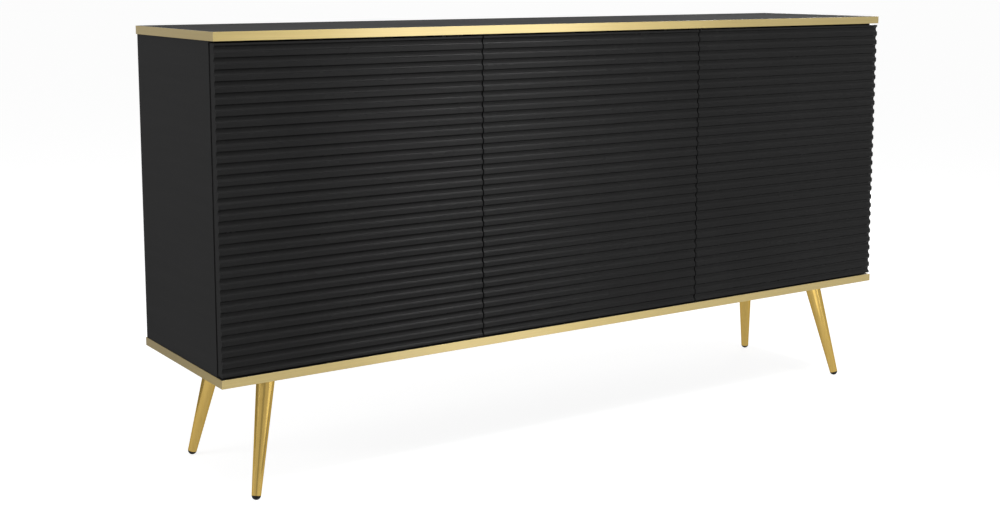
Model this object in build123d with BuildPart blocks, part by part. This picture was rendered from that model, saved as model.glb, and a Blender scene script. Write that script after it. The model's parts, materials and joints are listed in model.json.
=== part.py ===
from build123d import *
import os
from collections import namedtuple
from math import sqrt

os.makedirs("parts", exist_ok=True)

# A long sideboard: three fluted doors, a panel carcass, splayed metal legs.
# Millimetres. The floor is z = 0, the front faces -Y, and x = y = 0 is the middle of the footprint.

# Overall size
overall_width = 1540.0
overall_depth = 350.0
body_height = 585.0
leg_height = 212.0

# Carcass boards
board_thickness = 15.0
band_thickness = 1.0
side_inset = 1.5
back_thickness = 3.0
back_inset = 1.0
back_clearance = 0.5

# Doors
door_thickness = 18.0
door_front_inset = 1.0
door_end_inset = 2.0
door_gap_above_below = 3.2
door_gap_between = 3.0
door_gap_behind = 4.4
flute_pitch_wanted = 18.8
flute_depth = 3.6
ridge_width = 7.4
ridge_edge_radius = 0.8

# Shelves and their pins
shelf_front_setback = 12.0
shelf_back_gap = 2.0
shelf_end_gap = 0.5
shelf_pin_radius = 2.5
shelf_pin_sunk = 7.0
shelf_pin_tongue = 7.0
shelf_pin_tongue_width = 10.0
shelf_pin_tongue_height = 4.0
shelf_pin_from_edge = 50.0
shelf_pin_hole_step = 32.0

# Joinery
fit_clearance = 0.1
joint_from_edge = 40.0
dowel_radius = 4.0
dowel_length = 30.0
dowel_in_board = 10.0
dowel_from_fitting = 32.0
dowel_end_room = 0.5
cam_disc_radius = 7.5
cam_disc_depth = 12.0
cam_from_edge = 34.0
cam_bolt_radius = 3.0
cam_bolt_head_radius = 3.5
cam_bolt_head_length = 6.0
cam_bolt_in_board = 11.0
bottom_screw_radius = 3.2
bottom_screw_length = 50.0
bottom_screw_head_radius = 5.0
bottom_screw_head_length = 3.0

# Legs
leg_top_radius = 16.6
leg_foot_radius = 8.2
leg_wall = 1.5
leg_foot_end_inset = 69.0
leg_foot_front_inset = 31.0
leg_splay_across = 42.0
leg_splay_deep = 39.0
leg_plate_thickness = 3.0
leg_plate_side = 92.0
leg_plate_corner = 12.0
leg_plate_hole_spacing = 68.0
leg_plate_hole_radius = 2.3
glide_height = 7.6
glide_bulge = 2.2
glide_stem = 14.0

# Concealed hinges: "along" runs from the door's hinge edge, "in" runs back from the door's front
hinge_inset = 90.0
cup_radius = 17.5
cup_edge_distance = 4.0
cup_depth = 11.5
cup_wall = 0.8
cup_boss_gap = 14.0
cup_boss_reach = 9.5
cup_flange_thickness = 1.2
cup_flange_width = 17.0
cup_flange_length = 56.0
cup_flange_corner = 5.0
cup_hole_offset = 9.5
cup_hole_spacing = 45.0
cup_hole_radius = 1.8
hinge_pin_radius = 1.6
pin_fit = 0.02
pin_running_fit = 0.06
cup_pin_along = 10.0
cup_pin_depth = 5.8
cup_pin_length = 22.0
arm_pin_along = 26.0
arm_pin_behind_door = 7.0
link_sagitta = 9.5
link_thickness = 1.6
link_width = 11.0
link_eye_radius = 2.6
arm_width = 18.0
arm_wall = 1.5
arm_nose_radius = 3.6
arm_rear_height = 12.0
arm_underside = 3.0
arm_crank_start = 10.0
arm_crank_end = 26.0
arm_length = 62.0
arm_web_room = 0.6
plate_line = 37.0
plate_wing_thickness = 2.2
plate_wing_width = 16.0
plate_wing_length = 48.0
plate_rib_width = 12.0
plate_rib_start = 29.0
plate_rib_end = 60.0
plate_hole_spacing = 32.0
plate_hole_radius = 2.3
arm_hole_from_rib_end = 5.5
arm_hole_radius = 2.1
rib_hole_depth = 6.0

# Push latches under the top board, and the strike plates on the doors
latch_from_free_edge = 45.0
latch_axis_drop = 12.0
latch_width = 16.0
latch_height = 18.0
latch_length = 60.0
latch_ear_width = 38.0
latch_ear_length = 24.0
latch_ear_thickness = 3.0
latch_corner = 3.0
latch_hole_spacing = 27.0
latch_hole_radius = 1.8
plunger_radius = 3.5
plunger_length = 44.0
plunger_tip_radius = 4.5
plunger_tip_length = 4.0
plunger_tip_room = 0.3
strike_radius = 7.0
strike_thickness = 1.2
strike_spigot_radius = 1.5
strike_spigot_length = 6.0

# Levels and faces that follow from the sizes above
body_underside = leg_height
bottom_top = body_underside + board_thickness
total_height = body_underside + body_height
top_underside = total_height - board_thickness
inside_height = top_underside - bottom_top
front_y = -overall_depth / 2
rear_y = overall_depth / 2
door_front = front_y + door_front_inset
door_back = door_front + door_thickness
upright_front = door_back + door_gap_behind
back_panel_rear = rear_y - back_inset
upright_rear = back_panel_rear - back_thickness
upright_depth = upright_rear - upright_front
side_outer = overall_width / 2 - side_inset
side_inner = side_outer - board_thickness
door_span = overall_width - 2 * door_end_inset
door_width = (door_span - 2 * door_gap_between) / 3
door_step = door_width + door_gap_between
door_bottom = bottom_top + door_gap_above_below
door_top = top_underside - door_gap_above_below
door_height = door_top - door_bottom
divider_x = door_step / 2
shelf_top = bottom_top + (inside_height + board_thickness) / 2
shelf_underside = shelf_top - board_thickness
hinge_levels = (door_bottom + hinge_inset, door_top - hinge_inset)
cup_along = cup_edge_distance + cup_radius
cup_pin_in = door_thickness - cup_pin_depth
arm_pin_in = door_thickness + arm_pin_behind_door
upright_front_in = door_thickness + door_gap_behind
cam_level = top_underside - cam_from_edge

# One bay behind each door: where the door hangs, which way it runs, and the upright's inner face
Bay = namedtuple("Bay", "name hinge_x free_x inward upright_face low_x high_x")
bays = (
    Bay("left", -door_span / 2, -divider_x - door_gap_between / 2, 1,
        -side_inner, -side_inner, -divider_x - board_thickness / 2),
    Bay("middle", -divider_x + door_gap_between / 2, divider_x - door_gap_between / 2, 1,
        -divider_x + board_thickness / 2, -divider_x + board_thickness / 2, divider_x - board_thickness / 2),
    Bay("right", door_span / 2, divider_x + door_gap_between / 2, -1,
        side_inner, divider_x + board_thickness / 2, side_inner),
)

# The four uprights: name, middle of the thickness, and the face that holds the cam discs
Upright = namedtuple("Upright", "name middle_x cam_side")
side_middle = side_outer - board_thickness / 2
uprights = (
    Upright("left_side_panel", -side_middle, 1),
    Upright("left_divider", -divider_x, -1),
    Upright("right_divider", divider_x, 1),
    Upright("right_side_panel", side_middle, -1),
)

fitting_rows = (upright_front + joint_from_edge, upright_rear - joint_from_edge)
dowel_rows = (fitting_rows[0] + dowel_from_fitting, fitting_rows[1] - dowel_from_fitting)
pin_rows = (upright_front + shelf_pin_from_edge, upright_rear - shelf_pin_from_edge)
pin_level = shelf_underside - shelf_pin_tongue_height / 2
pin_holes = [pin_level + step * shelf_pin_hole_step for step in (-1, 0, 1)]

# Faces that look into the bays, with the way each one looks
inner_faces = [(bay.low_x, 1) for bay in bays] + [(bay.high_x, -1) for bay in bays]

# How a cylinder stands on a face: let into it, or raised from it
sunk = (Align.CENTER, Align.CENTER, Align.MAX)
raised = (Align.CENTER, Align.CENTER, Align.MIN)


def facing(points, outward):
    """Work planes at the points, looking out of the face that they lie on."""
    return [Plane(origin=point, z_dir=outward) for point in points]


def hinge_plane(bay, level):
    """Plane of one hinge, seen from above: x runs along the door, y runs into the carcass."""
    return Plane(origin=(bay.hinge_x, door_front, level), x_dir=(bay.inward, 0, 0), z_dir=(0, 0, bay.inward))


def hinge_point(bay, along, into, level):
    """Point of a hinge, given along the door and in from its front."""
    return (bay.hinge_x + bay.inward * along, door_front + into, level)


def upright_face_along(bay):
    """Distance from the door's hinge edge to the upright's inner face."""
    return abs(bay.upright_face - bay.hinge_x)


def plate_hole_points(bay):
    """Where the fixing holes lie on the wings of a bay's hinge plates."""
    along = upright_face_along(bay) + plate_wing_thickness
    into = upright_front_in + plate_line
    return [
        hinge_point(bay, along, into, level + side * plate_hole_spacing / 2)
        for level in hinge_levels for side in (-1, 1)
    ]


def arm_hole_points(bay, rise):
    """Where the holes that hold an arm to its plate lie, at a rise above the upright's face."""
    along = upright_face_along(bay) + rise
    stations = (plate_rib_start + arm_hole_from_rib_end, plate_rib_end - arm_hole_from_rib_end)
    return [
        hinge_point(bay, along, upright_front_in + station, level)
        for level in hinge_levels for station in stations
    ]


def finish(part, name):
    """Label a finished piece and write it."""
    part.label = name
    export_step(part, f"parts/{name}.step")


# Top and bottom boards
core_width = overall_width - 2 * band_thickness
core_depth = overall_depth - band_thickness
upright_xs = [upright.middle_x for upright in uprights]
fitting_points = [(x, y) for x in upright_xs for y in fitting_rows]
dowel_points = [(x, y) for x in upright_xs for y in dowel_rows]
leg_places = [(sx, sy) for sx in (-1, 1) for sy in (-1, 1)]
foot_x = overall_width / 2 - leg_foot_end_inset
foot_y = overall_depth / 2 - leg_foot_front_inset
leg_top_x = foot_x - leg_splay_across
leg_top_y = foot_y - leg_splay_deep
latch_xs = [bay.free_x - bay.inward * latch_from_free_edge for bay in bays]
latch_front = door_back + strike_thickness + plunger_tip_room + plunger_tip_length + plunger_tip_room
latch_level = top_underside - latch_axis_drop

with BuildPart() as top_board:
    with BuildSketch(Plane.XY.offset(top_underside)):
        with Locations((0, band_thickness / 2)):
            Rectangle(core_width, core_depth)
    extrude(amount=board_thickness)
    with Locations(*facing([(x, y, top_underside) for x, y in dowel_points], (0, 0, -1))):
        Hole(dowel_radius + fit_clearance, dowel_in_board + dowel_end_room)
    with Locations(*facing([(x, y, top_underside) for x, y in fitting_points], (0, 0, -1))):
        Hole(cam_bolt_radius + fit_clearance, cam_bolt_in_board)
finish(top_board.part, "top_board")

with BuildPart() as bottom_board:
    with BuildSketch(Plane.XY.offset(body_underside)):
        with Locations((0, band_thickness / 2)):
            Rectangle(core_width, core_depth)
    extrude(amount=board_thickness)
    with Locations(*facing([(x, y, bottom_top) for x, y in dowel_points], (0, 0, 1))):
        Hole(dowel_radius + fit_clearance, dowel_in_board + dowel_end_room)
    with Locations(*facing([(x, y, body_underside) for x, y in fitting_points], (0, 0, -1))):
        CounterBoreHole(
            bottom_screw_radius + fit_clearance,
            bottom_screw_head_radius + fit_clearance,
            bottom_screw_head_length,
            board_thickness,
        )
finish(bottom_board.part, "bottom_board")

# Edge bands: a front strip the full width, and an end strip behind it on each side
for name, level in (("top_edge_band", top_underside), ("bottom_edge_band", body_underside)):
    with BuildPart() as edge_band:
        with BuildSketch(Plane.XY.offset(level)):
            with Locations((0, front_y + band_thickness / 2)):
                Rectangle(overall_width, band_thickness)
        extrude(amount=board_thickness)
        with BuildSketch(Plane.XY.offset(level)):
            end_x = (overall_width - band_thickness) / 2
            with Locations((-end_x, band_thickness / 2), (end_x, band_thickness / 2)):
                Rectangle(band_thickness, core_depth)
        extrude(amount=board_thickness)
    finish(edge_band.part, name)

# Uprights: two side panels and two dividers
for upright in uprights:
    left_face = upright.middle_x - board_thickness / 2
    right_face = upright.middle_x + board_thickness / 2
    cam_face = upright.middle_x + upright.cam_side * board_thickness / 2
    with BuildPart() as panel:
        with BuildSketch(Plane.XY.offset(bottom_top)):
            with Locations((upright.middle_x, (upright_front + upright_rear) / 2)):
                Rectangle(board_thickness, upright_depth)
        extrude(amount=inside_height)
        # Bores in the top and bottom edges
        for level, outward in ((top_underside, 1), (bottom_top, -1)):
            edge_points = [(upright.middle_x, y, level) for y in dowel_rows]
            with Locations(*facing(edge_points, (0, 0, outward))):
                Hole(dowel_radius + fit_clearance, dowel_length - dowel_in_board + dowel_end_room)
        with Locations(*facing([(upright.middle_x, y, top_underside) for y in fitting_rows], (0, 0, 1))):
            Hole(cam_bolt_head_radius + fit_clearance, cam_from_edge)
        with Locations(*facing([(upright.middle_x, y, bottom_top) for y in fitting_rows], (0, 0, -1))):
            Hole(bottom_screw_radius + fit_clearance, bottom_screw_length - board_thickness)
        # Seats of the cam discs
        cam_points = [(cam_face, y, cam_level) for y in fitting_rows]
        with Locations(*facing(cam_points, (upright.cam_side, 0, 0))):
            Hole(cam_disc_radius + fit_clearance, cam_disc_depth)
        # Rows of holes for the shelf pins
        for face_x, outward in inner_faces:
            if left_face - fit_clearance < face_x < right_face + fit_clearance:
                rows = [(face_x, y, level) for y in pin_rows for level in pin_holes]
                with Locations(*facing(rows, (outward, 0, 0))):
                    Hole(shelf_pin_radius + fit_clearance, shelf_pin_sunk)
    finish(panel.part, upright.name)

# Thin back panel on the rear edges of the uprights
with BuildPart() as back_panel:
    with BuildSketch(Plane.XZ.offset(-back_panel_rear)):
        with Locations((0, (bottom_top + top_underside) / 2)):
            Rectangle(2 * (side_outer - back_clearance), inside_height - 2 * back_clearance)
    extrude(amount=back_thickness)
finish(back_panel.part, "back_panel")

# Shelves, each on four pins
for bay in bays:
    with BuildPart() as shelf:
        with BuildSketch(Plane.XY.offset(shelf_underside)):
            shelf_front = upright_front + shelf_front_setback
            shelf_rear = upright_rear - shelf_back_gap
            with Locations(((bay.low_x + bay.high_x) / 2, (shelf_front + shelf_rear) / 2)):
                Rectangle(bay.high_x - bay.low_x - 2 * shelf_end_gap, shelf_rear - shelf_front)
        extrude(amount=board_thickness)
    finish(shelf.part, f"{bay.name}_shelf")

with BuildPart() as shelf_pins:
    for face_x, outward in inner_faces:
        with Locations(*facing([(face_x, y, pin_level) for y in pin_rows], (outward, 0, 0))):
            Cylinder(shelf_pin_radius, shelf_pin_sunk, align=sunk)
        with Locations(*[(face_x + outward * shelf_pin_tongue / 2, y, pin_level) for y in pin_rows]):
            Box(shelf_pin_tongue, shelf_pin_tongue_width, shelf_pin_tongue_height)
finish(shelf_pins.part, "shelf_pins")

# Dowels, cam fittings and long screws that join the uprights to the boards
with BuildPart() as wood_dowels:
    dowel_middle = dowel_length / 2 - dowel_in_board
    dowel_levels = (top_underside - dowel_middle, bottom_top + dowel_middle)
    with Locations(*[(x, y, z) for x, y in dowel_points for z in dowel_levels]):
        Cylinder(dowel_radius, dowel_length)
finish(wood_dowels.part, "wood_dowels")

with BuildPart() as cam_bolts:
    bolt_length = cam_from_edge + cam_bolt_in_board
    with Locations(*[(x, y, cam_level) for x, y in fitting_points]):
        Cylinder(cam_bolt_radius, bolt_length, align=raised)
        Cylinder(cam_bolt_head_radius, cam_bolt_head_length, align=raised)
finish(cam_bolts.part, "cam_bolts")

with BuildPart() as cam_discs:
    for upright in uprights:
        cam_face = upright.middle_x + upright.cam_side * board_thickness / 2
        seats = [(cam_face, y, cam_level) for y in fitting_rows]
        with Locations(*facing(seats, (upright.cam_side, 0, 0))):
            Cylinder(cam_disc_radius, cam_disc_depth, align=sunk)
        # The bolt's head drops into a round pocket that is open at the top
        with Locations(*[(upright.middle_x, y, cam_level) for y in fitting_rows]):
            Cylinder(
                cam_bolt_head_radius + fit_clearance,
                cam_disc_radius + cam_bolt_head_length,
                align=raised,
                mode=Mode.SUBTRACT,
            )
finish(cam_discs.part, "cam_discs")

with BuildPart() as bottom_screws:
    with Locations(*[(x, y, body_underside) for x, y in fitting_points]):
        Cylinder(bottom_screw_radius, bottom_screw_length, align=raised)
        Cylinder(bottom_screw_head_radius, bottom_screw_head_length, align=raised)
finish(bottom_screws.part, "bottom_screws")

# Legs: tapered tubes, splayed both ways, with a plate on top and a glide in the foot
leg_run = sqrt(leg_splay_across**2 + leg_splay_deep**2 + leg_height**2)
leg_taper = (leg_top_radius - leg_foot_radius) / (leg_run - glide_height)
leg_plate_underside = body_underside - leg_plate_thickness


def leg_radius(height):
    """Outer radius of the leg at a height along its own axis."""
    return leg_foot_radius + leg_taper * (height - glide_height)


for sx, sy in leg_places:
    place = ("front" if sy < 0 else "rear") + ("_left" if sx < 0 else "_right")
    leg_axis = (-sx * leg_splay_across, -sy * leg_splay_deep, leg_height)
    foot_plane = Plane(origin=(sx * foot_x, sy * foot_y, 0), z_dir=leg_axis)
    side_plane = Plane(origin=foot_plane.origin, x_dir=foot_plane.x_dir, z_dir=-foot_plane.y_dir)
    axis = Axis(foot_plane.origin, foot_plane.z_dir)
    over_length = leg_run + leg_top_radius
    with BuildPart() as leg:
        with BuildSketch(side_plane):
            with BuildLine():
                Polyline(
                    (leg_radius(glide_height), glide_height),
                    (leg_radius(over_length), over_length),
                    (leg_radius(over_length) - leg_wall, over_length),
                    (leg_radius(glide_height) - leg_wall, glide_height),
                    close=True,
                )
            make_face()
        revolve(axis=axis)
        split(bisect_by=Plane.XY.offset(leg_plate_underside), keep=Keep.BOTTOM)
    finish(leg.part, f"{place}_leg")

    stem_radius = leg_foot_radius - leg_wall - fit_clearance
    with BuildPart() as glide:
        with BuildSketch(side_plane):
            with BuildLine():
                Line((0, 0), (0, glide_height + glide_stem))
                Line((0, glide_height + glide_stem), (stem_radius, glide_height + glide_stem))
                Line((stem_radius, glide_height + glide_stem), (stem_radius, glide_height))
                Line((stem_radius, glide_height), (leg_foot_radius, glide_height))
                SagittaArc((leg_foot_radius, glide_height), (0, 0), glide_bulge)
            make_face()
        revolve(axis=axis)
        split(bisect_by=Plane.XY, keep=Keep.TOP)
    finish(glide.part, f"{place}_glide")

    plate_middle = (sx * leg_top_x, sy * leg_top_y, leg_plate_underside)
    with BuildPart() as leg_plate:
        with BuildSketch(Plane(origin=plate_middle)):
            RectangleRounded(leg_plate_side, leg_plate_side, leg_plate_corner)
            with GridLocations(leg_plate_hole_spacing, leg_plate_hole_spacing, 2, 2):
                Circle(leg_plate_hole_radius, mode=Mode.SUBTRACT)
        extrude(amount=leg_plate_thickness)
    finish(leg_plate.part, f"{place}_leg_plate")

# Flute section: round hollows between flat ridges with eased edges
flute_count = round(door_height / flute_pitch_wanted)
flute_pitch = door_height / flute_count


def make_door(bay):
    """A fluted door leaf, with bores for its hinge cups and the strike plate."""
    with BuildPart() as door:
        with BuildSketch(Plane.YZ.offset(min(bay.hinge_x, bay.free_x))) as section:
            with BuildLine():
                Polyline(
                    (door_front, door_bottom + ridge_width / 2),
                    (door_front, door_bottom),
                    (door_back, door_bottom),
                    (door_back, door_top),
                    (door_front, door_top),
                    (door_front, door_top - ridge_width / 2),
                )
                for i in range(flute_count):
                    low = door_bottom + i * flute_pitch
                    high = low + flute_pitch
                    ThreePointArc(
                        (door_front, low + ridge_width / 2),
                        (door_front + flute_depth, low + flute_pitch / 2),
                        (door_front, high - ridge_width / 2),
                    )
                    if i < flute_count - 1:
                        Line((door_front, high - ridge_width / 2), (door_front, high + ridge_width / 2))
            make_face()
            fillet(section.vertices().group_by(Axis.X)[0], ridge_edge_radius)
        extrude(amount=door_width)
        cup_points = [hinge_point(bay, cup_along, door_thickness, level) for level in hinge_levels]
        with Locations(*facing(cup_points, (0, 1, 0))):
            Hole(cup_radius + fit_clearance, cup_depth)
        with Locations(*facing([strike_point(bay)], (0, 1, 0))):
            Hole(strike_spigot_radius + fit_clearance, strike_spigot_length)
    finish(door.part, f"{bay.name}_door")


def strike_point(bay):
    """Middle of the strike plate, on the back of the door."""
    return (bay.free_x - bay.inward * latch_from_free_edge, door_back, latch_level)


def make_cups(bay):
    """Hinge cups: a round shell in the door, a flange with two ears, and bosses for the link's pin."""
    inner_radius = cup_radius - cup_wall
    with BuildPart() as cups:
        for level in hinge_levels:
            origin = hinge_point(bay, cup_along, door_thickness, level)
            back_plane = Plane(origin=origin, x_dir=(bay.inward, 0, 0), z_dir=(0, 1, 0))
            with BuildSketch(back_plane):
                Circle(cup_radius)
            extrude(amount=-cup_depth)
            with BuildSketch(back_plane):
                with Locations((cup_flange_width / 2, 0)):
                    RectangleRounded(cup_flange_width, cup_flange_length, cup_flange_corner)
                with Locations(*[(cup_hole_offset, side * cup_hole_spacing / 2) for side in (-1, 1)]):
                    Circle(cup_hole_radius, mode=Mode.SUBTRACT)
            extrude(amount=cup_flange_thickness)
            with BuildSketch(back_plane.offset(cup_flange_thickness)):
                Circle(inner_radius)
                boss_depth = inner_radius - cup_boss_gap / 2
                boss_middle = (cup_boss_gap + boss_depth) / 2
                with Locations(*[(-cup_radius + cup_boss_reach / 2, side * boss_middle) for side in (-1, 1)]):
                    Rectangle(cup_boss_reach, boss_depth, mode=Mode.SUBTRACT)
            extrude(amount=cup_wall - cup_depth - cup_flange_thickness, mode=Mode.SUBTRACT)
            with Locations(hinge_plane(bay, level)):
                with Locations((cup_pin_along, cup_pin_in)):
                    Cylinder(hinge_pin_radius + pin_fit, cup_pin_length, mode=Mode.SUBTRACT)
    finish(cups.part, f"{bay.name}_hinge_cups")


def make_hinge_pins(bay, name, along, into, length):
    """Round pins that a bay's links turn on."""
    with BuildPart() as pins:
        with Locations(*[hinge_point(bay, along, into, level) for level in hinge_levels]):
            Cylinder(hinge_pin_radius, length)
    finish(pins.part, f"{bay.name}_{name}")


def make_links(bay):
    """Hooked links: an arc from the cup's pin to the arm's pin, which clears the door's edge when open."""
    cup_pin = Vector(cup_pin_along, cup_pin_in)
    arm_pin = Vector(arm_pin_along, arm_pin_in)
    chord = arm_pin - cup_pin
    bulge = Vector(chord.Y, -chord.X).normalized() * link_sagitta
    with BuildPart() as links:
        for level in hinge_levels:
            with BuildSketch(hinge_plane(bay, level)):
                with BuildLine():
                    ThreePointArc(cup_pin, (cup_pin + arm_pin) / 2 + bulge, arm_pin)
                trace(line_width=link_thickness)
                with Locations(cup_pin, arm_pin):
                    Circle(link_eye_radius)
                    Circle(hinge_pin_radius + pin_running_fit, mode=Mode.SUBTRACT)
            extrude(amount=link_width / 2, both=True)
    finish(links.part, f"{bay.name}_hinge_links")


def make_arms(bay):
    """Hinge arms: channels that carry the link's pin at the nose and clasp the plate's rib behind."""
    face = upright_face_along(bay)
    rear_top = face + arm_rear_height
    nose_top = arm_pin_along + arm_nose_radius
    nose_low = arm_pin_along - arm_nose_radius
    nose_front = arm_pin_in - arm_nose_radius
    crank_start = upright_front_in + arm_crank_start
    crank_end = upright_front_in + arm_crank_end
    rear = upright_front_in + arm_length
    web_start = arm_pin_in + link_eye_radius + arm_web_room
    with BuildPart() as arms:
        for level in hinge_levels:
            # Cheeks, from the round nose back over the crank
            with BuildSketch(hinge_plane(bay, level)):
                with BuildLine():
                    Polyline(
                        (nose_top, arm_pin_in),
                        (nose_top, crank_start),
                        (rear_top, crank_end),
                        (rear_top, rear),
                        (face + arm_underside, rear),
                        (face + arm_underside, crank_end),
                        (nose_low, crank_start),
                        (nose_low, arm_pin_in),
                    )
                    ThreePointArc((nose_low, arm_pin_in), (arm_pin_along, nose_front), (nose_top, arm_pin_in))
                make_face()
            extrude(amount=arm_width / 2, both=True)
            # The channel between the cheeks, under the web and open at the nose
            with BuildSketch(hinge_plane(bay, level)):
                with BuildLine():
                    Polyline(
                        (nose_top + arm_wall, nose_front - arm_wall),
                        (nose_top + arm_wall, web_start),
                        (nose_top - arm_wall, web_start),
                        (nose_top - arm_wall, crank_start),
                        (rear_top - arm_wall, crank_end),
                        (rear_top - arm_wall, rear + arm_wall),
                        (face, rear + arm_wall),
                        (face, nose_front - arm_wall),
                        close=True,
                    )
                make_face()
            extrude(amount=arm_width / 2 - arm_wall, both=True, mode=Mode.SUBTRACT)
            with Locations(hinge_plane(bay, level)):
                with Locations((arm_pin_along, arm_pin_in)):
                    Cylinder(hinge_pin_radius + pin_fit, arm_width, mode=Mode.SUBTRACT)
        with Locations(*facing(arm_hole_points(bay, arm_rear_height), (bay.inward, 0, 0))):
            Hole(arm_hole_radius, arm_wall)
    finish(arms.part, f"{bay.name}_hinge_arms")


def make_plates(bay):
    """Mounting plates on the upright: a wing with two fixing holes and a rib that the arm rides on."""
    face = upright_face_along(bay)
    rib_height = arm_rear_height - arm_wall
    rib_middle = upright_front_in + (plate_rib_start + plate_rib_end) / 2
    with BuildPart() as plates:
        for level in hinge_levels:
            with BuildSketch(hinge_plane(bay, level)):
                with Locations((face + plate_wing_thickness / 2, upright_front_in + plate_line)):
                    Rectangle(plate_wing_thickness, plate_wing_width)
            extrude(amount=plate_wing_length / 2, both=True)
            with BuildSketch(hinge_plane(bay, level)):
                with Locations((face + rib_height / 2, rib_middle)):
                    Rectangle(rib_height, plate_rib_end - plate_rib_start)
            extrude(amount=plate_rib_width / 2, both=True)
        with Locations(*facing(plate_hole_points(bay), (bay.inward, 0, 0))):
            Hole(plate_hole_radius, plate_wing_thickness)
        with Locations(*facing(arm_hole_points(bay, rib_height), (bay.inward, 0, 0))):
            Hole(arm_hole_radius, rib_hole_depth)
    finish(plates.part, f"{bay.name}_hinge_plates")


# Doors with their hinges and strike plates
for bay in bays:
    make_door(bay)
    make_cups(bay)
    make_links(bay)
    make_arms(bay)
    make_plates(bay)
    make_hinge_pins(bay, "cup_pins", cup_pin_along, cup_pin_in, cup_pin_length)
    make_hinge_pins(bay, "arm_pins", arm_pin_along, arm_pin_in, arm_width)
    with BuildPart() as strike_plate:
        with Locations(*facing([strike_point(bay)], (0, 1, 0))):
            Cylinder(strike_radius, strike_thickness, align=raised)
            Cylinder(strike_spigot_radius, strike_spigot_length, align=sunk)
    finish(strike_plate.part, f"{bay.name}_strike_plate")

# Push latches: a housing under the top board with a sprung plunger
for bay, latch_x in zip(bays, latch_xs):
    with BuildPart() as latch_housing:
        with BuildSketch(Plane.XY.offset(top_underside)):
            with Locations((latch_x, latch_front + latch_length / 2)):
                Rectangle(latch_width, latch_length)
        extrude(amount=-latch_height)
        bottom_edges = latch_housing.edges().filter_by(Axis.Y).group_by(Axis.Z)[0]
        fillet(bottom_edges, latch_corner)
        with BuildSketch(Plane.XY.offset(top_underside)):
            with Locations((latch_x, latch_front + latch_ear_length / 2)):
                RectangleRounded(latch_ear_width, latch_ear_length, latch_corner)
                with GridLocations(latch_hole_spacing, 0, 2, 1):
                    Circle(latch_hole_radius, mode=Mode.SUBTRACT)
        extrude(amount=-latch_ear_thickness)
        with Locations(*facing([(latch_x, latch_front, latch_level)], (0, -1, 0))):
            Hole(plunger_radius + fit_clearance, plunger_length + plunger_tip_room)
    finish(latch_housing.part, f"{bay.name}_latch_housing")

    with BuildPart() as plunger:
        tip_back = latch_front - plunger_tip_room
        with Locations(*facing([(latch_x, tip_back, latch_level)], (0, -1, 0))):
            Cylinder(plunger_tip_radius, plunger_tip_length, align=raised)
            Cylinder(plunger_radius, plunger_length, align=sunk)
    finish(plunger.part, f"{bay.name}_latch_plunger")
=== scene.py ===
import json
import math

import bmesh
import bpy
from mathutils import Matrix, Vector


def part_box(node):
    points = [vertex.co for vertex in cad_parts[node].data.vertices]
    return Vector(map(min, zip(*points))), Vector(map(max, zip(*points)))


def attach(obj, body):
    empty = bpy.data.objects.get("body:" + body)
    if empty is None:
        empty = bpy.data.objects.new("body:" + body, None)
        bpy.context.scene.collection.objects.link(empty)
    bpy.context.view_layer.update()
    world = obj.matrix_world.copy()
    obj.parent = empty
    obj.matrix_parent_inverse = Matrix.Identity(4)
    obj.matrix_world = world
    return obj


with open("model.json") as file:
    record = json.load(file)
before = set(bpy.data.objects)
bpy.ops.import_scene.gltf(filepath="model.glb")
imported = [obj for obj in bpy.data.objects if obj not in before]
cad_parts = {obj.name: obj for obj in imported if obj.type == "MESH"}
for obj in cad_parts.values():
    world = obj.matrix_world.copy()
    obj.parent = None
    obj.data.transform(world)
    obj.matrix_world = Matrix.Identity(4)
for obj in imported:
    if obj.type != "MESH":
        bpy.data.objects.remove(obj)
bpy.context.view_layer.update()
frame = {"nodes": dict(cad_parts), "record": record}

BAYS = ("left", "middle", "right")
PLACES = ("front_left", "front_right", "rear_left", "rear_right")
UPRIGHTS = ("left_side_panel", "left_divider", "right_divider", "right_side_panel")

RIGHT, BACK, UP, DOWN = (1, 0, 0), (0, 1, 0), (0, 0, 1), (0, 0, -1)

# Socket numbers of the Mix node, which has its own sockets for each kind of value
MIX_SHARE = 0
MIX_NUMBERS, MIXED_NUMBER = (2, 3), 0
MIX_COLOURS, MIXED_COLOUR = (6, 7), 2

# Ranges of patterns: all of it, and the part where most of a noise's values lie
FULL = (0.0, 1.0)
NOISE_SPAN = (0.3, 0.7)

# Edges, in metres: how round they look, and how wide the wear on them is
EASED_RADIUS = 0.0005
WEAR_RADIUS = 0.0006
BOARD_WEAR_RADIUS = 0.0007
WEAR_TURN = (0.02, 0.25)  # how far a normal has turned where wear starts, and where it is full
BEVEL_SAMPLES = 4


# Node helpers

def grey(level):
    """A colour without a hue."""
    return (level, level, level)


def shade(colour, factor):
    """A darker or lighter colour."""
    return tuple(min(1.0, channel * factor) for channel in colour)


def rgba(colour):
    """A plain colour made opaque; a socket stays as it is."""
    return colour if isinstance(colour, bpy.types.NodeSocket) else (*colour, 1.0)


def set_inputs(tree, node, inputs):
    """Sets a node's inputs: sockets are linked, other values are set directly."""
    for key, value in inputs.items():
        if isinstance(value, bpy.types.NodeSocket):
            tree.links.new(value, node.inputs[key])
        else:
            node.inputs[key].default_value = value


def start_material(name, constants):
    """A new node material, with constant values set on its shader."""
    material = bpy.data.materials.new(name)
    material.use_nodes = True
    tree = material.node_tree
    shader = tree.nodes["Principled BSDF"]
    set_inputs(tree, shader, constants)
    return material, tree, shader


def add_node(tree, kind, inputs=None, **settings):
    """A node with its settings and inputs."""
    node = tree.nodes.new(kind)
    for key, value in settings.items():
        setattr(node, key, value)
    set_inputs(tree, node, inputs or {})
    return node


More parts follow.
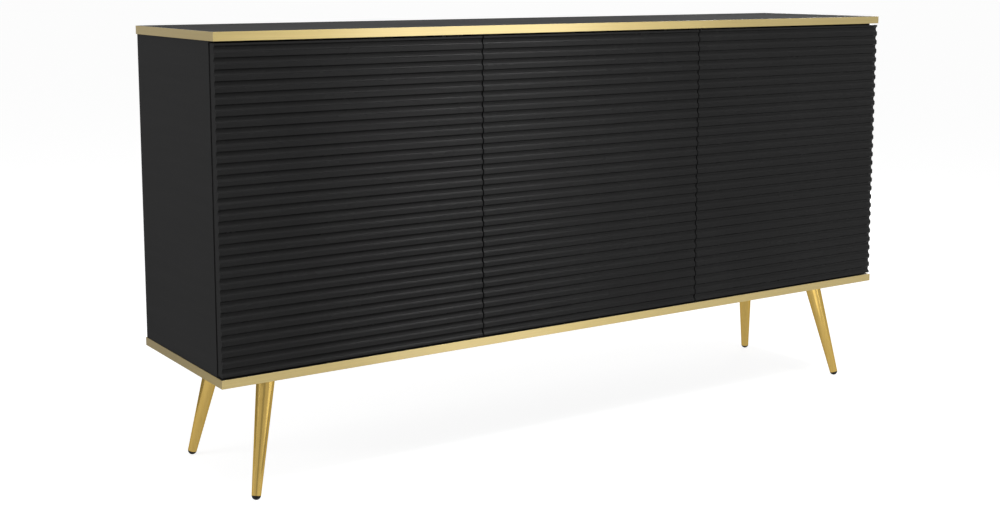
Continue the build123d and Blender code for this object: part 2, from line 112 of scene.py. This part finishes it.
def place_coordinates(tree, stretch=(1, 1, 1)):
    """Coordinates in metres that stay with the piece, scaled along each axis."""
    coordinates = add_node(tree, "ShaderNodeTexCoord")
    inputs = {"Vector": coordinates.outputs["Object"], "Scale": stretch}
    return add_node(tree, "ShaderNodeMapping", inputs).outputs["Vector"]


def coordinate(tree, kind, axis):
    """One axis of a kind of coordinates, such as the piece's own normals."""
    coordinates = add_node(tree, "ShaderNodeTexCoord")
    split = add_node(tree, "ShaderNodeSeparateXYZ", {"Vector": coordinates.outputs[kind]})
    return split.outputs[axis]


def noise(tree, vector, scale, detail=3.0, roughness=0.5):
    """A noise pattern's value."""
    inputs = {"Vector": vector, "Scale": scale, "Detail": detail, "Roughness": roughness}
    return add_node(tree, "ShaderNodeTexNoise", inputs).outputs["Fac"]


def drawn_lines(tree, stretch):
    """Fine lines along the axis with the smallest scale."""
    place = place_coordinates(tree, stretch)
    return noise(tree, place, scale=1.0, detail=4.0, roughness=0.6)


def spread(tree, value, to=FULL, span=NOISE_SPAN):
    """A pattern's value, spread from a span of it to a range."""
    inputs = {
        "Value": value, "From Min": span[0], "From Max": span[1], "To Min": to[0], "To Max": to[1],
    }
    return add_node(tree, "ShaderNodeMapRange", inputs).outputs["Result"]


def combine(tree, operation, *numbers):
    """Numbers or patterns put together."""
    node = add_node(tree, "ShaderNodeMath", dict(enumerate(numbers)), operation=operation)
    return node.outputs["Value"]


def mix_colours(tree, share, first, second):
    """One colour laid over another by a pattern."""
    inputs = {MIX_SHARE: share, MIX_COLOURS[0]: rgba(first), MIX_COLOURS[1]: rgba(second)}
    return add_node(tree, "ShaderNodeMix", inputs, data_type="RGBA").outputs[MIXED_COLOUR]


def mix_numbers(tree, share, first, second):
    """One number or pattern laid over another by a pattern."""
    inputs = {MIX_SHARE: share, MIX_NUMBERS[0]: first, MIX_NUMBERS[1]: second}
    return add_node(tree, "ShaderNodeMix", inputs, data_type="FLOAT").outputs[MIXED_NUMBER]


def eased_normal(tree, radius=EASED_RADIUS):
    """A normal that rounds the edges."""
    bevel = add_node(tree, "ShaderNodeBevel", {"Radius": radius}, samples=BEVEL_SAMPLES)
    return bevel.outputs["Normal"]


def edge_share(tree, breakup, radius=WEAR_RADIUS):
    """How worn a point is: full at an edge, and broken up by a pattern."""
    eased = eased_normal(tree, radius)
    geometry = add_node(tree, "ShaderNodeNewGeometry")
    facing = add_node(
        tree, "ShaderNodeVectorMath", {0: eased, 1: geometry.outputs["Normal"]},
        operation="DOT_PRODUCT",
    )
    turned = combine(tree, "SUBTRACT", 1.0, facing.outputs["Value"])
    return combine(tree, "MULTIPLY", spread(tree, turned, span=WEAR_TURN), breakup)


def bump(tree, height, strength, distance, under=None):
    """A surface normal from a height pattern, on top of another normal if one is given."""
    inputs = {"Height": height, "Strength": strength, "Distance": distance}
    if under is not None:
        inputs["Normal"] = under
    return add_node(tree, "ShaderNodeBump", inputs).outputs["Normal"]


def axis_share(tree, axis):
    """1 on faces that look along an axis of the piece, 0 on the others."""
    size = combine(tree, "ABSOLUTE", coordinate(tree, "Normal", axis))
    return spread(tree, size, span=(0.4, 0.6))


# Materials

def make_laminate(name, colour, worn, rough, specular, pebble, pebble_height, ends=None):
    """Black board or foil: a fine pebble, cloudy gloss, faint wipe marks and rubbed edges.

    The ends are the colour and the roughness of faces that look along X, where these differ.
    """
    material, tree, shader = start_material(name, {"Specular IOR Level": specular})
    place = place_coordinates(tree)
    cloud = noise(tree, place, scale=6.0, detail=4.0)
    wipes = noise(tree, place_coordinates(tree, stretch=(2.5, 2.5, 38.0)), scale=2.0)
    grain = noise(tree, place, scale=pebble, roughness=0.6)
    scuffs = noise(tree, place, scale=70.0, detail=5.0, roughness=0.65)
    tone = combine(tree, "MULTIPLY", combine(tree, "ADD", grain, cloud), 0.5)
    dark, light = shade(colour, 0.88), shade(colour, 1.12)
    body = mix_colours(tree, spread(tree, tone), dark, light)
    gloss = combine(
        tree, "ADD", spread(tree, cloud, to=rough), spread(tree, wipes, to=(-0.03, 0.03)),
    )
    if ends:
        end_colour, end_rough = ends
        on_ends = axis_share(tree, "X")
        body = mix_colours(tree, on_ends, body, end_colour)
        gloss = mix_numbers(tree, on_ends, gloss, end_rough)
    rubbed = spread(tree, scuffs, to=(0.0, 0.55), span=(0.42, 0.66))
    edge = edge_share(tree, rubbed, BOARD_WEAR_RADIUS)
    set_inputs(tree, shader, {
        "Base Color": mix_colours(tree, edge, body, worn),
        "Roughness": gloss,
        "Normal": bump(
            tree, grain, strength=0.35, distance=pebble_height, under=eased_normal(tree),
        ),
    })
    return material


def make_gold_band(name, dark, light, worn, glance):
    """Satin gold edge band, brushed along its length under a thin clear coat."""
    material, tree, shader = start_material(name, {
        "Metallic": 1.0, "Specular Tint": rgba(glance),
        "Coat Weight": 1.0, "Coat Roughness": 0.16, "Coat IOR": 1.54,
    })
    along_x = drawn_lines(tree, stretch=(5.0, 900.0, 900.0))
    along_y = drawn_lines(tree, stretch=(900.0, 5.0, 900.0))
    brushed = mix_numbers(tree, axis_share(tree, "X"), along_x, along_y)
    place = place_coordinates(tree)
    cloud = noise(tree, place, scale=4.0)
    specks = noise(tree, place, scale=160.0, detail=4.0, roughness=0.6)
    body = mix_colours(tree, spread(tree, brushed), dark, light)
    edge = edge_share(tree, spread(tree, specks, to=(0.0, 0.7), span=(0.4, 0.66)))
    set_inputs(tree, shader, {
        "Base Color": mix_colours(tree, edge, body, worn),
        "Roughness": combine(
            tree, "ADD",
            spread(tree, brushed, to=(0.30, 0.38)), spread(tree, cloud, to=(-0.02, 0.03)),
        ),
        "Normal": bump(tree, brushed, strength=0.12, distance=0.00004, under=eased_normal(tree)),
    })
    return material


def make_metal(name, dark, light, rough, stretch, height, glance=grey(1.0)):
    """Plated or drawn metal: fine draw lines, cloudy gloss and faint smudges."""
    material, tree, shader = start_material(name, {
        "Metallic": 1.0, "Specular Tint": rgba(glance),
    })
    lines = drawn_lines(tree, stretch)
    place = place_coordinates(tree)
    cloud = noise(tree, place, scale=28.0, detail=4.0, roughness=0.6)
    smudge = noise(tree, place, scale=90.0)
    body = mix_colours(tree, spread(tree, lines), dark, light)
    edge = edge_share(tree, spread(tree, smudge, to=(0.1, 0.8), span=(0.4, 0.65)))
    set_inputs(tree, shader, {
        "Base Color": mix_colours(tree, edge, body, shade(light, 1.25)),
        "Roughness": combine(
            tree, "ADD", spread(tree, cloud, to=rough), spread(tree, smudge, to=(-0.03, 0.04)),
        ),
        "Normal": bump(tree, lines, strength=0.15, distance=height),
    })
    return material


def make_moulded(name, dark, light, worn, rough, pebble, height):
    """Moulded plastic or powder coat: a fine spark texture with scuffed edges."""
    material, tree, shader = start_material(name, {"Specular IOR Level": 0.12})
    place = place_coordinates(tree)
    spark = noise(tree, place, scale=pebble, detail=2.0, roughness=0.6)
    cloud = noise(tree, place, scale=45.0, detail=4.0)
    body = mix_colours(tree, spread(tree, cloud), dark, light)
    edge = edge_share(tree, spread(tree, cloud, to=(0.0, 0.6), span=(0.42, 0.62)))
    set_inputs(tree, shader, {
        "Base Color": mix_colours(tree, edge, body, worn),
        "Roughness": spread(tree, cloud, to=rough),
        "Normal": bump(tree, spark, strength=0.5, distance=height),
    })
    return material


def make_hardboard(name, dark, light, stain, printed_dark, printed_light):
    """Thin hardboard: dark printed face inside, brown pressed fibre behind."""
    material, tree, shader = start_material(name, {"Specular IOR Level": 0.15})
    along_fibre = place_coordinates(tree, stretch=(1.0, 1.0, 0.55))
    fibre = noise(tree, along_fibre, scale=260.0, detail=6.0, roughness=0.7)
    mottle = noise(tree, place_coordinates(tree), scale=22.0, detail=5.0, roughness=0.6)
    brown = mix_colours(tree, spread(tree, fibre, span=(0.25, 0.75)), dark, light)
    patchy = mix_colours(tree, spread(tree, mottle, to=(0.0, 0.35)), brown, stain)
    inside = mix_colours(tree, spread(tree, fibre), printed_dark, printed_light)
    behind = spread(tree, coordinate(tree, "Normal", "Y"), span=(0.2, 0.8))
    set_inputs(tree, shader, {
        "Base Color": mix_colours(tree, behind, inside, patchy),
        "Roughness": spread(tree, mottle, to=(0.58, 0.74)),
        "Normal": bump(tree, fibre, strength=0.35, distance=0.0001),
    })
    return material


def make_beech(name, dark, light, pore):
    """Plain turned beech with fine pores along the grain."""
    material, tree, shader = start_material(name, {"Specular IOR Level": 0.3})
    along_grain = place_coordinates(tree, stretch=(420.0, 420.0, 26.0))
    along_pores = place_coordinates(tree, stretch=(2600.0, 2600.0, 160.0))
    grain = noise(tree, along_grain, scale=1.0, detail=5.0, roughness=0.6)
    pores = noise(tree, along_pores, scale=1.0, detail=2.0)
    body = mix_colours(tree, spread(tree, grain), dark, light)
    in_pores = spread(tree, pores, to=(0.0, 0.6), span=(0.6, 0.72))
    set_inputs(tree, shader, {
        "Base Color": mix_colours(tree, in_pores, body, pore),
        "Roughness": spread(tree, grain, to=(0.5, 0.68)),
        "Normal": bump(tree, pores, strength=0.3, distance=0.00008),
    })
    return material


FINISHES = {
    "black_laminate": (make_laminate, dict(
        colour=(0.0270, 0.0270, 0.0272), worn=grey(0.080), rough=(0.74, 0.88), specular=0.04,
        pebble=1100.0, pebble_height=0.00006,
    )),
    "fluted_black": (make_laminate, dict(
        colour=(0.0155, 0.0155, 0.0156), worn=grey(0.042), rough=(0.22, 0.30), specular=0.070,
        pebble=800.0, pebble_height=0.00004, ends=((0.0230, 0.0230, 0.0232), 0.86),
    )),
    "gold_edge": (make_gold_band, dict(
        dark=(0.366, 0.280, 0.098), light=(0.414, 0.320, 0.119), worn=(0.56, 0.46, 0.27),
        glance=(0.66, 0.54, 0.29),
    )),
    "gold_metal": (make_metal, dict(
        dark=(0.425, 0.288, 0.078), light=(0.470, 0.325, 0.096), rough=(0.12, 0.18),
        stretch=(260.0, 260.0, 5.0), height=0.00001, glance=(0.62, 0.47, 0.22),
    )),
    "black_plastic": (make_moulded, dict(
        dark=grey(0.006), light=grey(0.012), worn=grey(0.056), rough=(0.42, 0.58),
        pebble=1900.0, height=0.00005,
    )),
    "fibreboard": (make_hardboard, dict(
        dark=(0.075, 0.046, 0.026), light=(0.165, 0.108, 0.063), stain=(0.06, 0.04, 0.026),
        printed_dark=(0.026, 0.026, 0.027), printed_light=(0.036, 0.036, 0.037),
    )),
    "beech": (make_beech, dict(
        dark=(0.50, 0.33, 0.18), light=(0.68, 0.50, 0.31), pore=(0.26, 0.15, 0.08),
    )),
    "hinge_steel": (make_metal, dict(
        dark=(0.52, 0.515, 0.50), light=(0.66, 0.655, 0.64), rough=(0.22, 0.34),
        stretch=(60.0, 900.0, 900.0), height=0.00003,
    )),
    "screw_steel": (make_metal, dict(
        dark=(0.46, 0.47, 0.48), light=(0.60, 0.61, 0.62), rough=(0.26, 0.40),
        stretch=(700.0, 700.0, 700.0), height=0.00003,
    )),
    "cast_zinc": (make_metal, dict(
        dark=(0.38, 0.38, 0.39), light=(0.52, 0.52, 0.53), rough=(0.36, 0.52),
        stretch=(900.0, 900.0, 900.0), height=0.00006,
    )),
    "plate_steel": (make_moulded, dict(
        dark=grey(0.018), light=grey(0.032), worn=grey(0.116), rough=(0.40, 0.55),
        pebble=1300.0, height=0.00008,
    )),
}
materials = {slot: make(slot, **settings) for slot, (make, settings) in FINISHES.items()}

# Every solid takes the finish of its material slot
for entry in frame["record"]["subparts"]:
    for slot in frame["nodes"][entry["node"]].material_slots:
        slot.material = materials[entry["material_slot"]]


# Small fasteners

FASTENER_SLOT = "screw_steel"
SPIN_STEP = 2.4  # radians from one fastener to the next
SHARP_ANGLE = math.radians(38)

# Profiles from the top of the head to the point: shares of the head's radius and height, then of
# the shank's radius and length
SCREW_HEAD = (
    (0.0, 1.0), (0.45, 0.985), (0.72, 0.88), (0.92, 0.62), (1.0, 0.28), (0.985, 0.06), (0.95, 0.0),
)
SCREW_SHANK = ((1.0, 0.0), (1.0, -0.75), (0.35, -0.97), (0.0, -1.0))
NAIL_HEAD = ((0.0, 0.92), (0.7, 1.0), (0.93, 0.9), (1.0, 0.55), (0.9, 0.0))
NAIL_SHANK = ((1.0, 0.0), (1.0, -0.9), (0.0, -1.0))
SCREW_SEGMENTS, NAIL_SEGMENTS = 28, 20

# The driver's recess, as shares of the head's radius and height
RECESS_REACH, RECESS_HALF_WIDTH = 0.58, 0.13
RECESS_FLOOR, RECESS_TOP = 0.3, 1.4
RECESS_TAPER = 0.45


def turned_mesh(profile, segments):
    """A closed turned mesh from radius and height pairs; the ends lie on the axis."""
    mesh = bmesh.new()
    turns = [math.tau * i / segments for i in range(segments)]
    rings = []
    for radius, height in profile:
        if radius == 0:
            corners = [(0, 0, height)]
        else:
            corners = [(radius * math.cos(t), radius * math.sin(t), height) for t in turns]
        rings.append([mesh.verts.new(corner) for corner in corners])
    for low, high in zip(rings, rings[1:]):
        for i in range(segments):
            k = (i + 1) % segments
            if len(low) == 1:
                mesh.faces.new((low[0], high[k], high[i]))
            elif len(high) == 1:
                mesh.faces.new((low[i], low[k], high[0]))
            else:
                mesh.faces.new((low[i], low[k], high[k], high[i]))
    bmesh.ops.recalc_face_normals(mesh, faces=mesh.faces)
    return mesh


def fastener_mesh(head, shank, segments, radius, height, shank_radius, shank_length):
    """A turned fastener, its head standing on z = 0."""
    profile = [(radius * across, height * up) for across, up in head]
    profile += [(shank_radius * across, shank_length * up) for across, up in shank]
    return turned_mesh(profile, segments)


def cross_cutter(reach, half_width, floor, top):
    """A tapered cross that presses the driver's recess into a screw's head."""
    mesh = bmesh.new()
    outline = []
    for quarter in range(4):
        turn = Matrix.Rotation(math.tau * quarter / 4, 2)
        for corner in ((reach, -half_width), (reach, half_width), (half_width, half_width)):
            outline.append(turn @ Vector(corner))
    low = [mesh.verts.new((*(point * RECESS_TAPER), floor)) for point in outline]
    high = [mesh.verts.new((*point, top)) for point in outline]
    mesh.faces.new(low[::-1])
    mesh.faces.new(high)
    for i in range(len(outline)):
        k = (i + 1) % len(outline)
        mesh.faces.new((low[i], low[k], high[k], high[i]))
    bmesh.ops.recalc_face_normals(mesh, faces=mesh.faces)
    return mesh


def keep(name, mesh):
    """Mesh data made from a bmesh."""
    data = bpy.data.meshes.new(name)
    mesh.to_mesh(data)
    mesh.free()
    return data


def hold(name, mesh):
    """A mesh object in the scene, made from a bmesh."""
    piece = bpy.data.objects.new(name, keep(name, mesh))
    bpy.context.scene.collection.objects.link(piece)
    return piece


def make_screw(radius, height, shank_radius, shank_length):
    """One pan-head screw with a cross recess."""
    blank = hold("blank", fastener_mesh(
        SCREW_HEAD, SCREW_SHANK, SCREW_SEGMENTS, radius, height, shank_radius, shank_length,
    ))
    cutter = hold("cutter", cross_cutter(
        radius * RECESS_REACH, radius * RECESS_HALF_WIDTH,
        height * RECESS_FLOOR, height * RECESS_TOP,
    ))
    cut = blank.modifiers.new("recess", "BOOLEAN")
    cut.operation = "DIFFERENCE"
    cut.solver = "EXACT"
    cut.object = cutter
    bpy.context.view_layer.update()
    evaluated = blank.evaluated_get(bpy.context.evaluated_depsgraph_get())
    shaped = bpy.data.meshes.new_from_object(evaluated)
    bpy.data.objects.remove(blank)
    bpy.data.objects.remove(cutter)
    return shaped


def make_nail(radius, height, shank_radius, shank_length):
    """One flat-headed nail."""
    return keep("nail", fastener_mesh(
        NAIL_HEAD, NAIL_SHANK, NAIL_SEGMENTS, radius, height, shank_radius, shank_length,
    ))


def set_fasteners(name, data, seats, outward, body="carcass"):
    """Copies of one fastener on their seats, each turned differently, as one piece."""
    mesh = bmesh.new()
    facing = Vector(outward).to_track_quat("Z", "Y").to_matrix().to_4x4()
    for number, seat in enumerate(seats):
        spin = Matrix.Rotation(number * SPIN_STEP, 4, "Z")
        before = len(mesh.verts)
        mesh.from_mesh(data)
        mesh.verts.ensure_lookup_table()
        bmesh.ops.transform(
            mesh, matrix=Matrix.Translation(seat) @ facing @ spin, verts=mesh.verts[before:],
        )
    piece = hold(name, mesh)
    for face in piece.data.polygons:
        face.use_smooth = True
    piece.data.materials.append(materials[FASTENER_SLOT])
    keep_edges = piece.modifiers.new("keep_edges", "EDGE_SPLIT")
    keep_edges.split_angle = SHARP_ANGLE
    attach(piece, body)


def middle(low, high):
    """The middle of a box."""
    return (low + high) / 2


# Leg plates: one screw near each corner, heads down
leg_hole_reach = 0.034
leg_seats = []
for place in PLACES:
    low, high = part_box(f"{place}_leg_plate")
    centre = middle(low, high)
    for dx in (-leg_hole_reach, leg_hole_reach):
        for dy in (-leg_hole_reach, leg_hole_reach):
            leg_seats.append((centre.x + dx, centre.y + dy, low.z))
leg_screw = make_screw(radius=0.0042, height=0.0022, shank_radius=0.0021, shank_length=0.014)
set_fasteners("leg_screws", leg_screw, leg_seats, DOWN)

# Hinges: two screws in each plate's wings, two through each arm, two in each cup's flange. Holes
# are measured from the plate's front edge, the cup's outer edge and the hinge's middle
hinge_inset = 0.090
plate_wing, plate_hole_line, plate_hole_reach = 0.0022, 0.008, 0.016
arm_height, arm_hole_line, arm_hole_reach = 0.012, 0.0155, 0.010
cup_hole_line, cup_hole_reach = 0.027, 0.0225

plate_screw = make_screw(radius=0.0036, height=0.0012, shank_radius=0.0021, shank_length=0.012)
arm_screw = make_screw(radius=0.0034, height=0.0020, shank_radius=0.0019, shank_length=0.0072)
cup_screw = make_screw(radius=0.0032, height=0.0010, shank_radius=0.0017, shank_length=0.010)

door_low, door_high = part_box("left_door")
hinge_levels = (door_low.z + hinge_inset, door_high.z - hinge_inset)
for bay in BAYS:
    plate_low, plate_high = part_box(f"{bay}_hinge_plates")
    cup_low, cup_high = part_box(f"{bay}_hinge_cups")
    inward = -1 if bay == "right" else 1
    upright_x = plate_low.x if inward > 0 else plate_high.x
    cup_edge = cup_low.x if inward > 0 else cup_high.x
    wing_x, arm_x = upright_x + inward * plate_wing, upright_x + inward * arm_height
    plate_y, arm_y = plate_low.y + plate_hole_line, plate_low.y + arm_hole_line
    cup_x = cup_edge + inward * cup_hole_line
    plate_seats, arm_seats, cup_seats = [], [], []
    for level in hinge_levels:
        for side in (-1, 1):
            plate_seats.append((wing_x, plate_y, level + side * plate_hole_reach))
            arm_seats.append((arm_x, arm_y + side * arm_hole_reach, level))
            cup_seats.append((cup_x, cup_high.y, level + side * cup_hole_reach))
    set_fasteners(f"{bay}_plate_screws", plate_screw, plate_seats, (inward, 0, 0))
    set_fasteners(f"{bay}_arm_screws", arm_screw, arm_seats, (inward, 0, 0))
    set_fasteners(f"{bay}_cup_screws", cup_screw, cup_seats, BACK, f"{bay}_leaf")

# Push latches: one screw in each ear, heads down
latch_ear, latch_hole_line, latch_hole_reach = 0.003, 0.012, 0.0135
latch_screw = make_screw(radius=0.0032, height=0.0016, shank_radius=0.0017, shank_length=0.012)
for bay in BAYS:
    low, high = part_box(f"{bay}_latch_housing")
    centre = middle(low, high)
    latch_seats = [
        (centre.x + side * latch_hole_reach, low.y + latch_hole_line, high.z - latch_ear)
        for side in (-1, 1)
    ]
    set_fasteners(f"{bay}_latch_screws", latch_screw, latch_seats, DOWN)

# Back panel: a row of nails into each upright
nails_in_row = 5
nail_margin = 0.040
nail = make_nail(radius=0.0018, height=0.0006, shank_radius=0.0008, shank_length=0.020)
low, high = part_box("back_panel")
nail_pitch = (high.z - low.z - 2 * nail_margin) / (nails_in_row - 1)
nail_seats = []
for upright in UPRIGHTS:
    column = middle(*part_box(upright)).x
    for i in range(nails_in_row):
        nail_seats.append((column, high.y, low.z + nail_margin + i * nail_pitch))
set_fasteners("back_nails", nail, nail_seats, BACK)


# Floor, light and camera

def flat_mesh(width, length):
    """A flat rectangle about the origin."""
    mesh = bmesh.new()
    x, y = width / 2, length / 2
    corners = ((-x, -y, 0), (x, -y, 0), (x, y, 0), (-x, y, 0))
    mesh.faces.new([mesh.verts.new(corner) for corner in corners])
    return mesh


def seen_share(tree):
    """1 for rays that see a surface, straight or in a reflection, and 0 for rays that light."""
    path = add_node(tree, "ShaderNodeLightPath")
    seen = combine(
        tree, "MAXIMUM", path.outputs["Is Camera Ray"], path.outputs["Is Glossy Ray"],
    )
    return combine(tree, "MAXIMUM", seen, path.outputs["Is Transmission Ray"])


def add_floor(side, drop, tone, glow):
    """A wide floor that shows white and keeps a soft shadow."""
    floor = hold("floor", flat_mesh(side, side))
    floor.location.z = -drop
    material, tree, shader = start_material("floor", {
        "Base Color": rgba(grey(tone)), "Roughness": 0.9, "Specular IOR Level": 0.0,
        "Emission Color": rgba(grey(1.0)),
    })
    glowing = combine(tree, "MULTIPLY", seen_share(tree), glow)
    set_inputs(tree, shader, {"Emission Strength": glowing})
    floor.data.materials.append(material)


def set_world(lighting, shown):
    """A white world, as strong as shown where it is seen and weaker where it lights."""
    world = bpy.data.worlds.new("studio")
    world.use_nodes = True
    tree = world.node_tree
    set_inputs(tree, tree.nodes["Background"], {
        "Color": rgba(grey(1.0)),
        "Strength": spread(tree, seen_share(tree), to=(lighting, shown), span=FULL),
    })
    bpy.context.scene.world = world


def aim(place, target, along):
    """A turn that looks from a place at a target, with the length along a direction."""
    back = (Vector(place) - Vector(target)).normalized()
    across = Vector(along).cross(back).normalized()
    return Matrix((across, back.cross(across), back)).transposed().to_euler()


def add_softbox(name, place, target, along, width, length, power):
    """A soft lamp that looks at a point. The camera doesn't see it, but reflections do."""
    lamp = bpy.data.lights.new(name, "AREA")
    lamp.shape = "RECTANGLE"
    lamp.size = width
    lamp.size_y = length
    lamp.energy = power
    holder = bpy.data.objects.new(name, lamp)
    holder.location = place
    holder.rotation_euler = aim(place, target, along)
    holder.visible_camera = False
    bpy.context.scene.collection.objects.link(holder)


def add_card(name, place, target, along, width, length, glow):
    """A glowing card, graded along its length, that only reflections show."""
    card = hold(name, flat_mesh(width, length))
    card.location = place
    card.rotation_euler = aim(place, target, along)
    material, tree, shader = start_material(name, {
        "Base Color": rgba(grey(0.0)), "Roughness": 1.0, "Specular IOR Level": 0.0,
        "Emission Color": rgba(grey(1.0)),
    })
    graded = spread(tree, coordinate(tree, "Generated", "Y"), to=glow, span=FULL)
    set_inputs(tree, shader, {"Emission Strength": graded})
    card.data.materials.append(material)
    card.visible_camera = False
    card.visible_diffuse = False
    card.visible_shadow = False
    card.visible_transmission = False


def add_camera(place, bearing, pitch, lens, shift):
    """The photograph's viewpoint, with a part of the lens shift of its upright lines."""
    data = bpy.data.cameras.new("camera")
    data.sensor_width = 36.0
    data.lens = lens
    data.shift_y = shift
    data.clip_end = 400.0
    camera = bpy.data.objects.new("camera", data)
    camera.location = place
    camera.rotation_euler = (math.pi / 2 - math.radians(pitch), 0.0, -math.radians(bearing))
    bpy.context.scene.collection.objects.link(camera)
    bpy.context.scene.camera = camera


add_floor(side=240.0, drop=0.0002, tone=0.38, glow=0.86)
set_world(lighting=0.30, shown=0.975)
add_softbox(
    "front_strip", place=(1.22, -2.52, 0.78), target=(-0.26, -0.17, 0.50), along=UP,
    width=0.9, length=1.5, power=12.0,
)
add_softbox(
    "upper_right", place=(1.12, -0.90, 2.60), target=(-0.26, -0.17, 0.50), along=BACK,
    width=0.42, length=1.8, power=28.0,
)
add_softbox(
    "upper_left", place=(-0.90, -1.25, 2.70), target=(-0.55, -0.17, 0.50), along=RIGHT,
    width=0.52, length=1.3, power=34.0,
)
add_softbox(
    "side_fill", place=(-3.20, 0.60, 1.30), target=(-0.77, 0.00, 0.50), along=UP,
    width=1.5, length=1.5, power=28.0,
)
add_softbox(
    "rear_fill", place=(2.80, 1.90, 0.60), target=(0.60, 0.10, 0.50), along=UP,
    width=1.4, length=1.0, power=24.0,
)
add_card(
    "front_card", place=(-3.4, -4.6, 1.2), target=(-0.4, -0.1, 0.4), along=UP,
    width=2.6, length=2.6, glow=(0.60, 0.60),
)
add_card(
    "left_card", place=(-1.06, 0.42, 0.78), target=(-0.77, 0.0, 0.78), along=UP,
    width=0.9, length=1.54, glow=(0.50, 0.94),
)
add_card(
    "floor_card", place=(0.150, -0.850, 0.002), target=(0.150, -0.850, 1.0), along=BACK,
    width=0.5, length=0.9, glow=(2.30, 2.30),
)
add_card(
    "near_card", place=(-0.17, -0.40, 0.003), target=(-0.17, -0.40, 1.0), along=BACK,
    width=0.70, length=0.40, glow=(0.62, 0.62),
)
add_camera(
    place=(-1.6753, -2.3429, 0.8878), bearing=33.8522, pitch=7.6458, lens=52.10, shift=-0.085,
)
bpy.context.scene.view_settings.view_transform = "Standard"
